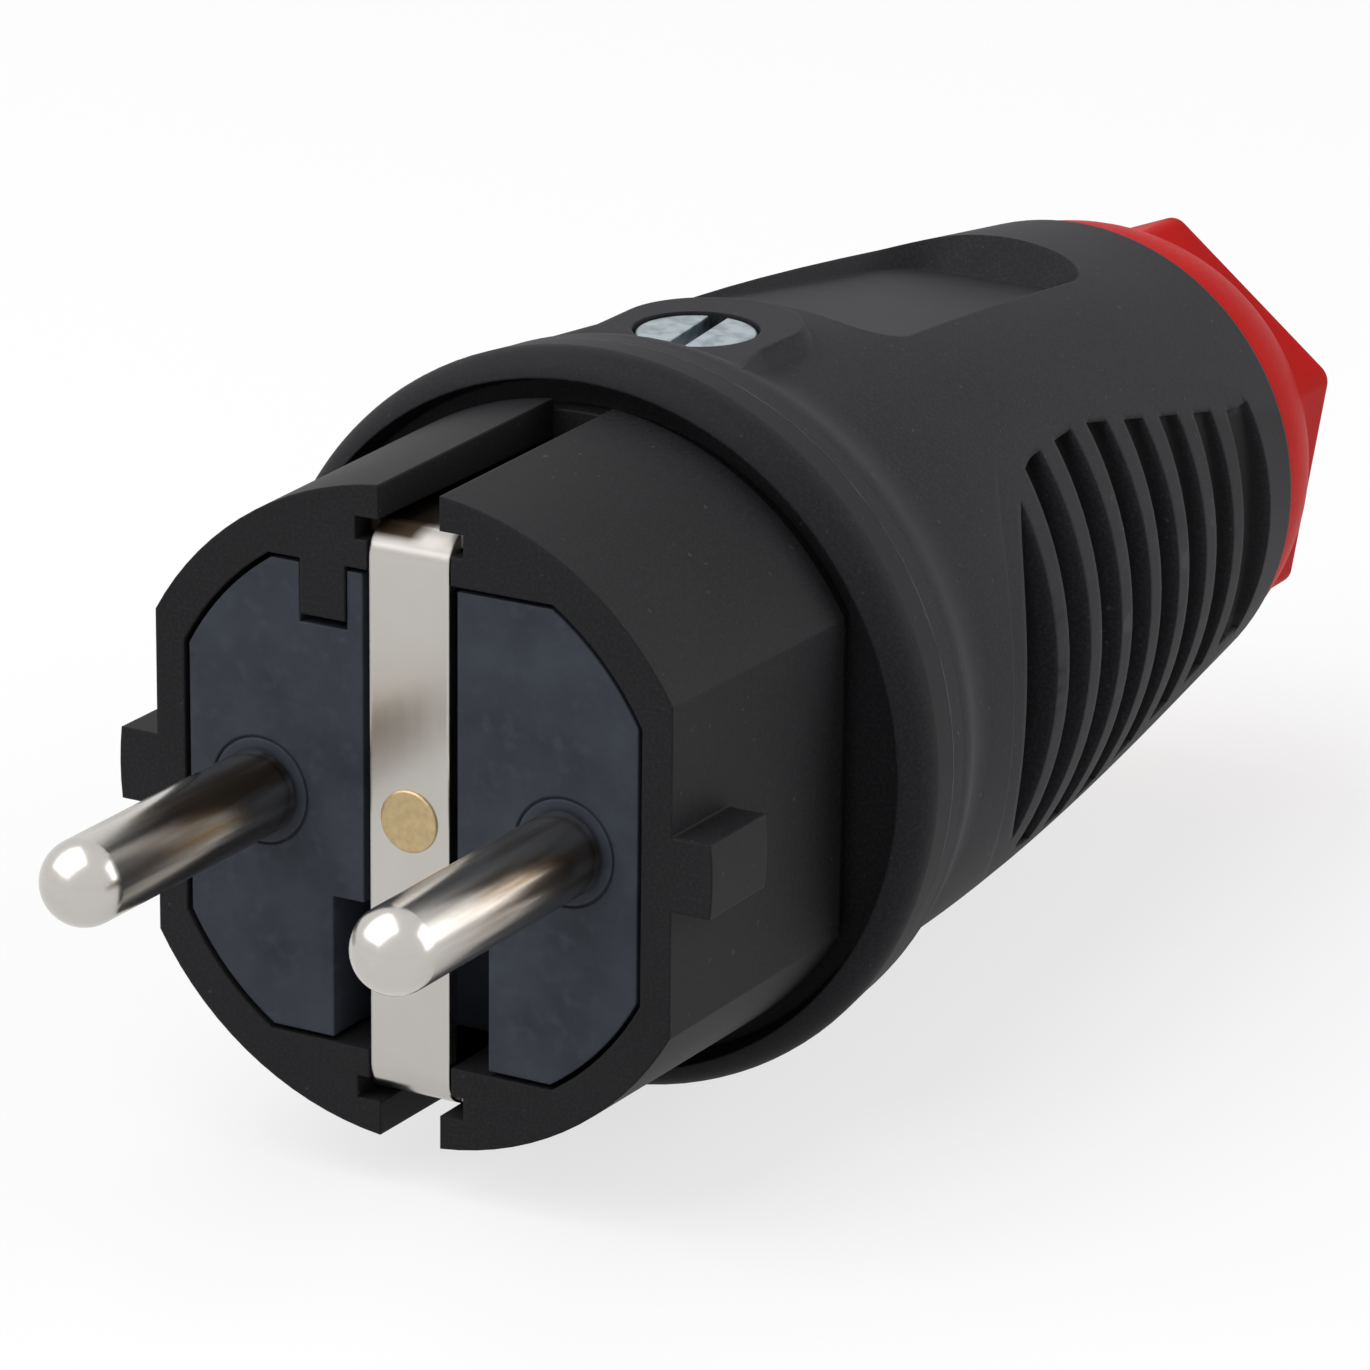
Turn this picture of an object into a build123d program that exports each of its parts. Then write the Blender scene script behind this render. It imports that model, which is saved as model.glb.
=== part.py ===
from build123d import *
import os

# A rubber-jacketed two-pin plug with side earth contacts. Millimetres, +Z up.
# The plug's axis is Y: the face lies on y = 0, the pins point to -Y and the cable leaves to +Y.
# The origin is the middle of the face, half way between the pins.

# Pins and face
pin_spacing = 19.0
pin_radius = 2.4
pin_length = 19.0
pin_neck_radius = 2.0
pin_neck_reach = 0.2
pin_gap = 0.1
pin_ring_radius = 3.0
pin_ring_width = 0.15
pin_ring_depth = 0.15

# Front section of the hard shell
face_radius = 18.5
flat_half_width = 16.05
section_flare = 0.25
flat_flare = 0.35
base_radius = face_radius + section_flare
base_half_width = flat_half_width + flat_flare
section_length = 18.1
neck_inset = 0.6
dish_depth = 1.5
tab_half_height = 2.05
tab_length = 5.9
tab_sink = 1.5

# Pocket for the insert
round_rim = 2.6
side_rim = 2.1
end_rim = 5.2
insert_radius = face_radius - round_rim
insert_half_width = flat_half_width - side_rim
insert_half_height = face_radius - end_rim
insert_gap = 0.3
insert_depth = 15.5
face_recess = 0.1
key_inner_x = 4.0
key_outer_x = 6.8
key_height = 2.8
key_bottom_z = insert_half_height - key_height
key_length = 5.0
key_gap = 0.1
key_end_gap = 0.5

# Earth channels, T-shaped in section
mouth_half_width = 1.9
tee_half_width = 3.35
tee_lip = 1.9
tee_height = 1.3
tee_bottom_z = insert_half_height + tee_lip
tee_top_z = tee_bottom_z + tee_height
throat_half_width = 2.6
throat_overlap = 0.2

# Earth strap
strap_thickness = 0.8
strap_half_width = 2.45
strap_wing_half_width = 3.2
strap_wing_start = 1.3
strap_end_gap = 0.7
strap_arm_length = section_length - strap_end_gap
strap_seat_gap = 0.1
strap_bend_radius = 0.9
rivet_head_radius = 1.75
rivet_head_height = 0.15
rivet_head_round = 0.1
rivet_radius = 1.5
channel_half_width = 2.95
channel_depth = 2.6
strap_seat_half_width = 2.0
strap_seat_half_height = 6.0
well_half_width = 4.9
well_top_z = -5.2
well_depth = 5.0

# Terminals
terminal_half_side = 3.0
terminal_gap = 0.2
terminal_length = 8.6
terminal_screw_y = 21.4
terminal_screw_radius = 1.7
terminal_screw_length = 4.6
terminal_head_radius = 2.8
terminal_head_height = 2.0
terminal_slot_width = 0.8
terminal_slot_depth = 0.9
clamp_plate_thickness = 0.8
clamp_plate_half_length = 3.4
clamp_plate_half_width = 2.9
rivet_bite = 2.5

# Insert, rear part
chamber_gap = 0.3
chamber_half_width = terminal_half_side + chamber_gap
chamber_front = 16.8
chamber_floor_gap = 1.2
chamber_bottom_z = -(terminal_half_side + chamber_floor_gap)
tower_side = 1.0
tower_cut = 2.5
tower_radius = pin_spacing / 2 + terminal_half_side + tower_side
tower_half_height = tower_radius - tower_cut
tower_end = 26.5
back_plate_thickness = 2.5
wire_hole_radius = 2.3
peg_radius = 1.5
peg_length = 4.0
peg_gap = 0.05
peg_x = 4.75
peg_z = -8.0

# Tube of the hard shell inside the jacket
tower_gap = 0.3
tube_wall = 1.8
tube_inner_radius = tower_radius + tower_gap
tube_radius = tube_inner_radius + tube_wall
tube_taper_start = 36.0
body_end = 78.2
tube_end_gap = 0.4
ledge_from_end = 18.2
ledge_y = body_end - ledge_from_end
ledge_thickness = 2.0
ledge_lip = 1.6
taper_overrun = 4.0
tube_taper_end = ledge_y + taper_overrun
gland_thread_radius = 11.0
tube_rear_wall = 1.9
tube_rear_radius = gland_thread_radius + tube_rear_wall

# Jacket
rim_front = 17.8
rim_gap = 1.15
rim_width = 1.45
rim_draft = 0.4
rim_inner_radius = base_radius + rim_gap
collar_radius = rim_inner_radius + rim_width
collar_peak = 19.9
collar_end = 23.6
collar_fall = 0.4
collar_drop = 1.8
collar_nose_inset = 0.4
collar_nose_advance = 0.25
waist_hollow = 0.55
waist_start = 29.5
waist_radius = collar_radius - collar_drop
collar_end_radius = collar_radius - collar_fall
shoulder_y = 42.0
shoulder_drop = 0.35
shoulder_radius = waist_radius - shoulder_drop
middle_from_end = 22.2
middle_y = body_end - middle_from_end
middle_drop = 1.2
middle_radius = shoulder_radius - middle_drop
rear_drop = 2.65
rear_radius = middle_radius - rear_drop
rear_edge_round = 0.6
pad_rise = 0.33
pad_z = waist_radius + pad_rise
pad_border = 1.6
pad_flare = 1.4
pad_flare_end = 28.5
pad_round_shift = 1.7
pad_front_overlap = 0.9
pad_draft = 25.0

# Recess behind the pad
recess_start = 39.6
recess_from_end = 11.0
recess_end = body_end - recess_from_end
recess_front_half_width = 7.3
recess_rear_half_width = 6.0
recess_corner = 3.0
recess_draft = 25.0
recess_cut_height = 5.0
recess_front_floor = 2.3
recess_rear_floor = 1.3
recess_front_z = tube_radius + recess_front_floor
recess_rear_z = tube_rear_radius + recess_rear_floor

# Ribbed grips, one on each side
groove_count = 8
groove_pitch = 4.78
groove_first = 37.9
first_groove_reach = 1.8
last_groove_reach = 0.7
groove_floor_width = 2.1
groove_top_width = 3.3
groove_front_floor = 1.1
groove_rear_floor = 2.0
groove_floor_front = tube_radius + groove_front_floor
groove_floor_rear = tube_rear_radius + groove_rear_floor
groove_floor_radius = 27.0
crest_shift = 2.9
crest_front_depth = 0.65
crest_rear_depth = 0.3
crest_from_end = 5.2
crest_end = body_end - crest_from_end
grip_round_y = 43.2
grip_start = 32.4
grip_half_height = 13.6
groove_border = 3.0
groove_half_height = 11.7
groove_taper_y = 50.0
groove_rear_half_height = 7.2
cut_margin = 4.0

# Housing screw, its seat and its nut
screw_y = 30.5
screw_head_radius = 3.5
screw_head_height = 2.2
screw_head_round = 0.35
screw_hole_gap = 0.12
screw_head_sink = 0.1
screw_radius = 1.95
screw_bottom_z = 6.0
screw_clearance = 0.25
screw_point_chamfer = 0.5
slot_width = 1.2
slot_depth = 1.1
slot_turn = 7.0
boss_radius = 5.0
boss_root = 1.0
nut_half_side = 3.5
nut_thickness = 2.4
nut_pocket_gap = 0.1
thread_gap = 0.05
pad_half_width = screw_head_radius + screw_hole_gap + pad_border

# Tower of the insert's back
back_tower_gap = 1.4
back_tower_end = 35.0
back_tower_half_width = 5.6
back_tower_bottom_z = 4.0
back_tower_top_z = tube_inner_radius - back_tower_gap
nut_cover = 1.4
nut_top_z = back_tower_top_z - nut_cover

# Gland: clamp cage, seal and nut
gland_thread_gap = 0.1
nut_spigot_length = 11.2
nut_spigot_start = body_end - nut_spigot_length
nut_spigot_bore = 9.4
nut_flange_inset = 0.45
nut_flange_radius = rear_radius - nut_flange_inset
nut_flange_gap = 0.1
nut_flange_width = 0.6
nut_flange_end = body_end + nut_flange_gap + nut_flange_width
nut_reach = 9.8
nut_end = body_end + nut_reach
nut_flat_radius = 12.1
nut_dome_inset = 0.4
nut_dome_radius = nut_flat_radius - nut_dome_inset
nut_dome_from_end = 0.8
nut_dome_end = nut_end - nut_dome_from_end
nut_dome_round = 14.0
nut_turn = 51.1
nut_corner_round = 1.2
nut_hex_from_flange = 0.7
nut_hex_start = nut_flange_end + nut_hex_from_flange
nut_mouth_radius = 7.2
nut_cone_from_flange = 1.1
nut_cone_start = nut_flange_end + nut_cone_from_flange
nut_lip_length = 1.5
nut_cone_end = nut_end - nut_lip_length
cage_ring_length = 3.0
cage_gap = 0.2
cage_finger_gap = 0.3
cage_finger_radius = nut_spigot_bore - cage_finger_gap
cage_finger_wall = 1.1
cage_finger_reach = 2.0
cage_finger_end = nut_cone_start + cage_finger_reach
cage_finger_chamfer = 1.0
cage_finger_count = 8
cage_slot_width = 1.8
cage_slot_reach = 2.1
seal_gap = 0.05
seal_radius = cage_finger_radius - cage_finger_wall - seal_gap
seal_bore_radius = 5.25
seal_from_ledge = 3.5
seal_start = ledge_y + seal_from_ledge
seal_from_finger_end = 0.8
seal_end = cage_finger_end - seal_from_finger_end

# Places worked out from the sizes above
pin_x = pin_spacing / 2
neck_end = section_length + dish_depth
tube_rear_inner = gland_thread_radius
tube_end = body_end - tube_end_gap
back_start = tower_end
plate_top_z = terminal_half_side + clamp_plate_thickness
screw_top_z = pad_z - screw_head_sink
head_seat_z = screw_top_z - screw_head_height
chamber_places = {"live": -pin_x, "earth": 0.0, "neutral": pin_x}


def station(y):
    """Upright plane across the plug at y. Its local x and y run along X and Z, and it faces -Y."""
    return Plane.XZ.offset(-y)


def flatted_disc(radius, half_width, half_height):
    """Disc cut by two upright flats and two level ones."""
    Circle(radius)
    Rectangle(2 * half_width, 2 * half_height, mode=Mode.INTERSECT)


def body_radius(y):
    """Radius of the jacket's tapered body between the waist and the rear rim."""
    points = [
        (waist_start, waist_radius),
        (shoulder_y, shoulder_radius),
        (middle_y, middle_radius),
        (body_end, rear_radius),
    ]
    for (y0, r0), (y1, r1) in zip(points, points[1:]):
        if y <= y1:
            return r0 + (r1 - r0) * (y - y0) / (y1 - y0)
    return rear_radius


# Hard shell: the front section, its neck and the tube that carries the jacket
with BuildPart() as inner_shell:
    with BuildSketch(station(0)):
        flatted_disc(face_radius, flat_half_width, face_radius)
    with BuildSketch(station(section_length)):
        flatted_disc(base_radius, base_half_width, base_radius)
    loft(ruled=True)
    with BuildSketch(station(section_length)):
        flatted_disc(base_radius - neck_inset, base_half_width - neck_inset, base_radius)
    extrude(amount=-dish_depth)
    # Side tabs at the height of the pins
    with BuildSketch(station(0)):
        Circle(face_radius)
        Rectangle(2 * face_radius, 2 * tab_half_height, mode=Mode.INTERSECT)
        Rectangle(2 * (flat_half_width - tab_sink), 2 * tab_half_height, mode=Mode.SUBTRACT)
    extrude(amount=-tab_length)
    # Tube, narrowing to the gland
    with BuildSketch(Plane.XY):
        with BuildLine():
            Polyline(
                (0, neck_end),
                (tube_radius, neck_end),
                (tube_radius, tube_taper_start),
                (tube_rear_radius, tube_taper_end),
                (tube_rear_radius, tube_end),
                (0, tube_end),
                close=True,
            )
        make_face()
    revolve(axis=Axis.Y)
    # Seat of the housing screw
    with BuildSketch(Plane.XY.offset(tube_inner_radius - boss_root)):
        with Locations((0, screw_y)):
            Circle(boss_radius)
    extrude(amount=head_seat_z - tube_inner_radius + boss_root)
    # Pocket for the insert
    with BuildSketch(station(0)):
        flatted_disc(
            insert_radius + insert_gap,
            insert_half_width + insert_gap,
            insert_half_height + insert_gap,
        )
    extrude(amount=-insert_depth, mode=Mode.SUBTRACT)
    # Hollow of the tube, with the ledge that stops the clamp cage
    with BuildSketch(Plane.XY):
        with BuildLine():
            Polyline(
                (0, insert_depth),
                (tube_inner_radius, insert_depth),
                (tube_inner_radius, tube_taper_start),
                (tube_rear_inner, ledge_y),
                (tube_rear_inner - ledge_lip, ledge_y),
                (tube_rear_inner - ledge_lip, ledge_y + ledge_thickness),
                (tube_rear_inner, ledge_y + ledge_thickness),
                (tube_rear_inner, tube_end),
                (0, tube_end),
                close=True,
            )
        make_face()
    revolve(axis=Axis.Y, mode=Mode.SUBTRACT)
    # Earth channels at the top and the bottom
    for side in (1, -1):
        with BuildSketch(station(0)):
            with Locations((0, side * face_radius)):
                Rectangle(2 * mouth_half_width, 2 * (face_radius - tee_bottom_z))
            with Locations((0, side * (tee_bottom_z + tee_top_z) / 2)):
                Rectangle(2 * tee_half_width, tee_top_z - tee_bottom_z)
            with Locations((0, side * (insert_half_height + tee_bottom_z) / 2)):
                Rectangle(2 * throat_half_width, tee_bottom_z - insert_half_height + throat_overlap)
        extrude(amount=-section_length, mode=Mode.SUBTRACT)
    # Key that stops the insert from going in the wrong way round
    with BuildSketch(station(0)):
        with Locations((-(key_inner_x + key_outer_x) / 2, key_bottom_z)):
            Rectangle(
                key_outer_x - key_inner_x,
                insert_half_height + 2 * insert_gap - key_bottom_z,
                align=(Align.CENTER, Align.MIN),
            )
    extrude(amount=-key_length)
    # Screw hole
    with Locations(Plane.XY.offset(head_seat_z)):
        with Locations((0, screw_y)):
            Hole(screw_radius + screw_clearance, depth=head_seat_z - tube_inner_radius + 2 * boss_root)
inner_shell.part.label = "inner_shell"

# Insert: front block, strap channel, terminal chambers
with BuildPart() as contact_carrier:
    with BuildSketch(station(face_recess)):
        flatted_disc(insert_radius, insert_half_width, insert_half_height)
    extrude(amount=face_recess - insert_depth)
    with BuildSketch(station(insert_depth)):
        flatted_disc(tower_radius, tower_radius, tower_half_height)
    extrude(amount=insert_depth - tower_end)
    # Channel for the earth strap, with the seat that carries it
    with BuildSketch(station(0)):
        Rectangle(2 * channel_half_width, 2 * face_radius)
        Rectangle(2 * strap_seat_half_width, 2 * strap_seat_half_height, mode=Mode.SUBTRACT)
    extrude(amount=-channel_depth, mode=Mode.SUBTRACT)
    with BuildSketch(station(0)):
        Rectangle(2 * channel_half_width, 2 * face_radius)
    extrude(amount=-strap_thickness, mode=Mode.SUBTRACT)
    # Deep well below the strap's middle
    with BuildSketch(station(0)):
        with Locations((0, well_top_z)):
            Rectangle(
                2 * well_half_width,
                2 * face_radius,
                align=(Align.CENTER, Align.MAX),
            )
    extrude(amount=-well_depth, mode=Mode.SUBTRACT)
    # Keyway
    with BuildSketch(station(0)):
        with Locations((-(key_inner_x + key_outer_x) / 2, key_bottom_z - key_end_gap)):
            Rectangle(
                key_outer_x - key_inner_x + 2 * key_gap,
                face_radius,
                align=(Align.CENTER, Align.MIN),
            )
    extrude(amount=-(key_length + key_gap), mode=Mode.SUBTRACT)
    # Pin holes and the fine ring around each
    with BuildSketch(station(0)):
        with GridLocations(pin_spacing, 0, 2, 1):
            Circle(pin_neck_radius + pin_gap)
    extrude(amount=-tower_end, mode=Mode.SUBTRACT)
    with BuildSketch(station(0)):
        with GridLocations(pin_spacing, 0, 2, 1):
            Circle(pin_ring_radius + pin_ring_width / 2)
            Circle(pin_ring_radius - pin_ring_width / 2, mode=Mode.SUBTRACT)
    extrude(amount=-(face_recess + pin_ring_depth), mode=Mode.SUBTRACT)
    # Rivet hole
    with BuildSketch(station(0)):
        Circle(rivet_radius + pin_gap)
    extrude(amount=-tower_end, mode=Mode.SUBTRACT)
    # Terminal chambers, open to the top and to the rear
    with BuildSketch(station(chamber_front)):
        for place in chamber_places.values():
            with Locations((place, chamber_bottom_z)):
                Rectangle(
                    2 * chamber_half_width,
                    2 * tower_radius,
                    align=(Align.CENTER, Align.MIN),
                )
    extrude(amount=chamber_front - tower_end, mode=Mode.SUBTRACT)
    # Holes for the pegs of the back
    with BuildSketch(station(tower_end)):
        with Locations((-peg_x, peg_z), (peg_x, peg_z)):
            Circle(peg_radius + peg_gap)
    extrude(amount=peg_length + peg_gap, mode=Mode.SUBTRACT)
contact_carrier.part.label = "contact_carrier"

# Rear half of the insert: back plate, pegs and the tower with the square nut
with BuildPart() as carrier_back:
    with BuildSketch(station(back_start)):
        flatted_disc(tower_radius, tower_radius, tower_half_height)
    extrude(amount=-back_plate_thickness)
    with BuildSketch(station(back_start)):
        with Locations((0, back_tower_bottom_z)):
            Rectangle(
                2 * back_tower_half_width,
                back_tower_top_z - back_tower_bottom_z,
                align=(Align.CENTER, Align.MIN),
            )
    extrude(amount=back_start - back_tower_end)
    with BuildSketch(station(back_start)):
        with Locations((-peg_x, peg_z), (peg_x, peg_z)):
            Circle(peg_radius)
    extrude(amount=peg_length)
    # Wire holes under the tower and behind the outer chambers
    with BuildSketch(station(back_start)):
        with Locations((-pin_x, 0), (0, 0), (pin_x, 0)):
            Circle(wire_hole_radius)
    extrude(amount=-back_plate_thickness, mode=Mode.SUBTRACT)
    # Slot for the square nut, open at the rear, and the screw hole
    with BuildSketch(Plane.XY.offset(nut_top_z + nut_pocket_gap)):
        with Locations((0, screw_y - nut_half_side - nut_pocket_gap)):
            Rectangle(
                2 * (nut_half_side + nut_pocket_gap),
                back_tower_end,
                align=(Align.CENTER, Align.MIN),
            )
    extrude(amount=-(nut_thickness + 2 * nut_pocket_gap), mode=Mode.SUBTRACT)
    with Locations(Plane.XY.offset(back_tower_top_z)):
        with Locations((0, screw_y)):
            Hole(
                screw_radius + screw_clearance,
                depth=back_tower_top_z - screw_bottom_z + screw_clearance,
            )
carrier_back.part.label = "carrier_back"

# Square nut in the tower
with BuildPart() as captive_nut:
    with BuildSketch(Plane.XY.offset(nut_top_z)):
        with Locations((0, screw_y)):
            Rectangle(2 * nut_half_side, 2 * nut_half_side)
            Circle(screw_radius + thread_gap, mode=Mode.SUBTRACT)
    extrude(amount=-nut_thickness)
captive_nut.part.label = "captive_nut"

# Housing screw: slotted pan head
with BuildPart() as housing_screw:
    with BuildSketch(Plane.XY.offset(head_seat_z)):
        with Locations((0, screw_y)):
            Circle(screw_head_radius)
    extrude(amount=screw_head_height)
    fillet(housing_screw.edges().group_by(Axis.Z)[-1], radius=screw_head_round)
    with BuildSketch(Plane.XY.offset(screw_top_z)):
        with Locations((0, screw_y)):
            Rectangle(slot_width, 2 * screw_head_radius, rotation=slot_turn)
    extrude(amount=-slot_depth, mode=Mode.SUBTRACT)
    with BuildSketch(Plane.XY.offset(head_seat_z)):
        with Locations((0, screw_y)):
            Circle(screw_radius)
    extrude(amount=screw_bottom_z - head_seat_z)
    chamfer(housing_screw.edges().group_by(Axis.Z)[0], length=screw_point_chamfer)
housing_screw.part.label = "housing_screw"


def contact_pin(place):
    """Turned pin with a round end, a thinner neck in the insert and a square terminal head."""
    with BuildPart() as pin:
        with BuildSketch(Plane.XY):
            with BuildLine():
                Polyline(
                    (0, -pin_length),
                    (0, chamber_front + terminal_gap),
                    (pin_neck_radius, chamber_front + terminal_gap),
                    (pin_neck_radius, -pin_neck_reach),
                    (pin_radius, -pin_neck_reach),
                    (pin_radius, pin_radius - pin_length),
                )
                RadiusArc((pin_radius, pin_radius - pin_length), (0, -pin_length), pin_radius)
            make_face()
        revolve(axis=Axis.Y)
        with BuildSketch(station(chamber_front + terminal_gap)):
            Rectangle(2 * terminal_half_side, 2 * terminal_half_side)
        extrude(amount=-terminal_length)
        with Locations(Plane.XY.offset(terminal_half_side)):
            with Locations((0, terminal_screw_y)):
                Hole(terminal_screw_radius + thread_gap, depth=2 * terminal_half_side)
    pin.part.position = (place, 0, 0)
    return pin


live_pin = contact_pin(chamber_places["live"])
live_pin.part.label = "live_pin"
neutral_pin = contact_pin(chamber_places["neutral"])
neutral_pin.part.label = "neutral_pin"

# Earth terminal block on the rivet's end
with BuildPart() as earth_terminal:
    with BuildSketch(station(chamber_front + terminal_gap)):
        Rectangle(2 * terminal_half_side, 2 * terminal_half_side)
    extrude(amount=-terminal_length)
    with BuildSketch(station(chamber_front + terminal_gap)):
        Circle(rivet_radius)
    extrude(amount=-rivet_bite, mode=Mode.SUBTRACT)
    with Locations(Plane.XY.offset(terminal_half_side)):
        with Locations((0, terminal_screw_y)):
            Hole(terminal_screw_radius + thread_gap, depth=2 * terminal_half_side)
earth_terminal.part.label = "earth_terminal"


def clamp_plate(place):
    """Loose square plate that a terminal screw presses on the wire."""
    with BuildPart() as plate:
        with BuildSketch(Plane.XY.offset(terminal_half_side)):
            with Locations((place, terminal_screw_y)):
                Rectangle(2 * clamp_plate_half_width, 2 * clamp_plate_half_length)
                Circle(terminal_screw_radius + screw_clearance, mode=Mode.SUBTRACT)
        extrude(amount=clamp_plate_thickness)
    return plate


def terminal_screw(place):
    """Slotted cheese-head screw of a terminal."""
    with BuildPart() as screw:
        with BuildSketch(Plane.XY.offset(plate_top_z)):
            with Locations((place, terminal_screw_y)):
                Circle(terminal_head_radius)
        extrude(amount=terminal_head_height)
        with BuildSketch(Plane.XY.offset(plate_top_z + terminal_head_height)):
            with Locations((place, terminal_screw_y)):
                Rectangle(terminal_slot_width, 2 * terminal_head_radius)
        extrude(amount=-terminal_slot_depth, mode=Mode.SUBTRACT)
        with BuildSketch(Plane.XY.offset(plate_top_z)):
            with Locations((place, terminal_screw_y)):
                Circle(terminal_screw_radius)
        extrude(amount=-terminal_screw_length)
    return screw


# Earth strap: the bar over the face and the two arms that lie in the T-shaped channels
arm_top_z = tee_bottom_z + strap_seat_gap + strap_thickness
with BuildPart() as earth_strap:
    with BuildSketch(Plane.YZ) as strap_section:
        RectangleRounded(
            2 * strap_arm_length,
            2 * arm_top_z,
            strap_bend_radius + strap_thickness,
            align=(Align.MIN, Align.CENTER),
        )
        with Locations((strap_thickness, 0)):
            RectangleRounded(
                2 * strap_arm_length,
                2 * (arm_top_z - strap_thickness),
                strap_bend_radius,
                align=(Align.MIN, Align.CENTER),
                mode=Mode.SUBTRACT,
            )
        Rectangle(strap_wing_start, 4 * arm_top_z, align=(Align.MIN, Align.CENTER), mode=Mode.INTERSECT)
    extrude(amount=strap_half_width, both=True)
    with BuildSketch(Plane.YZ) as arm_section:
        for side in (1, -1):
            with Locations((strap_wing_start, side * (arm_top_z - strap_thickness / 2))):
                Rectangle(
                    strap_arm_length - strap_wing_start,
                    strap_thickness,
                    align=(Align.MIN, Align.CENTER),
                )
    extrude(amount=strap_wing_half_width, both=True)
    with BuildSketch(station(0)):
        Circle(rivet_radius)
    extrude(amount=-strap_thickness, mode=Mode.SUBTRACT)
earth_strap.part.label = "earth_strap"

# Rivet from the strap to the earth terminal
with BuildPart() as earth_rivet:
    with BuildSketch(station(-rivet_head_height)):
        Circle(rivet_head_radius)
    extrude(amount=-rivet_head_height)
    with BuildSketch(station(0)):
        Circle(rivet_radius)
    extrude(amount=-(chamber_front + terminal_gap + rivet_bite))
    fillet(earth_rivet.edges().group_by(Axis.Y)[0], radius=rivet_head_round)
earth_rivet.part.label = "earth_rivet"

# Recess cutter: an oblong with round corners and sloping walls over a floor that follows the taper
floor_slope = Plane(
    origin=(0, recess_start, recess_front_z),
    x_dir=(1, 0, 0),
    z_dir=(0, recess_front_z - recess_rear_z, recess_end - recess_start),
)
with BuildPart() as recess_cutter:
    with BuildSketch(floor_slope) as recess_floor:
        with BuildLine():
            Polyline(
                (-recess_front_half_width, 0),
                (recess_front_half_width, 0),
                (recess_rear_half_width, recess_end - recess_start),
                (-recess_rear_half_width, recess_end - recess_start),
                close=True,
            )
        make_face()
        fillet(recess_floor.vertices(), radius=recess_corner)
    extrude(amount=recess_cut_height, taper=-recess_draft)

# Grip cutters for the +X side: a shallow hollow with a round front border, and the grooves in it
cut_radius = collar_radius + cut_margin


def grip_outline(start, half_height):
    """Outline seen from the side, with an elliptic front end."""
    with Locations((grip_round_y, 0)):
        Ellipse(grip_round_y - start, half_height)
        Rectangle(body_end, 2 * half_height, align=(Align.MIN, Align.CENTER))


with BuildPart() as crest_cutter:
    with BuildSketch(Plane.XY):
        with BuildLine():
            crest_points = [
                (body_radius(grip_start) - crest_front_depth, grip_start),
                (body_radius(shoulder_y) - crest_front_depth, shoulder_y),
                (body_radius(middle_y) - crest_front_depth, middle_y),
                (body_radius(crest_end) - crest_rear_depth, crest_end),
            ]
            Spline(crest_points)
            Polyline(crest_points[-1], (cut_radius, crest_end), (cut_radius, grip_start), crest_points[0])
        make_face()
    revolve(axis=Axis((-crest_shift, 0, 0), (0, 1, 0)))
    with BuildSketch(Plane.YZ):
        grip_outline(grip_start, grip_half_height)
    extrude(amount=2 * cut_radius, mode=Mode.INTERSECT)

groove_shift = groove_floor_radius - groove_floor_front
groove_last = groove_first + (groove_count - 1) * groove_pitch
with BuildPart() as groove_cutter:
    for index in range(groove_count):
        groove_y = groove_first + index * groove_pitch
        reach = first_groove_reach if index == 0 else 0
        rear_reach = last_groove_reach if index == groove_count - 1 else 0
        drop = (groove_floor_front - groove_floor_rear) * index / (groove_count - 1)
        floor_x = groove_floor_front - drop
        with BuildSketch(Plane.XY):
            with BuildLine():
                Polyline(
                    (floor_x, groove_y - groove_floor_width / 2 - reach),
                    (floor_x, groove_y + groove_floor_width / 2 + rear_reach),
                    (body_radius(groove_y), groove_y + groove_top_width / 2 + rear_reach),
                    (cut_radius, groove_y + groove_top_width / 2 + rear_reach),
                    (cut_radius, groove_y - groove_top_width / 2 - reach),
                    (body_radius(groove_y), groove_y - groove_top_width / 2 - reach),
                    close=True,
                )
            make_face()
        revolve(axis=Axis((-groove_shift, 0, 0), (0, 1, 0)))
    with BuildSketch(Plane.YZ):
        grip_outline(grip_start + groove_border, groove_half_height)
        with BuildLine():
            Polyline(
                (0, -groove_half_height),
                (groove_taper_y, -groove_half_height),
                (groove_last, -groove_rear_half_height),
                (body_end, -groove_rear_half_height),
                (body_end, groove_rear_half_height),
                (groove_last, groove_rear_half_height),
                (groove_taper_y, groove_half_height),
                (0, groove_half_height),
                close=True,
            )
        make_face(mode=Mode.INTERSECT)
    extrude(amount=2 * cut_radius, mode=Mode.INTERSECT)

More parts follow.
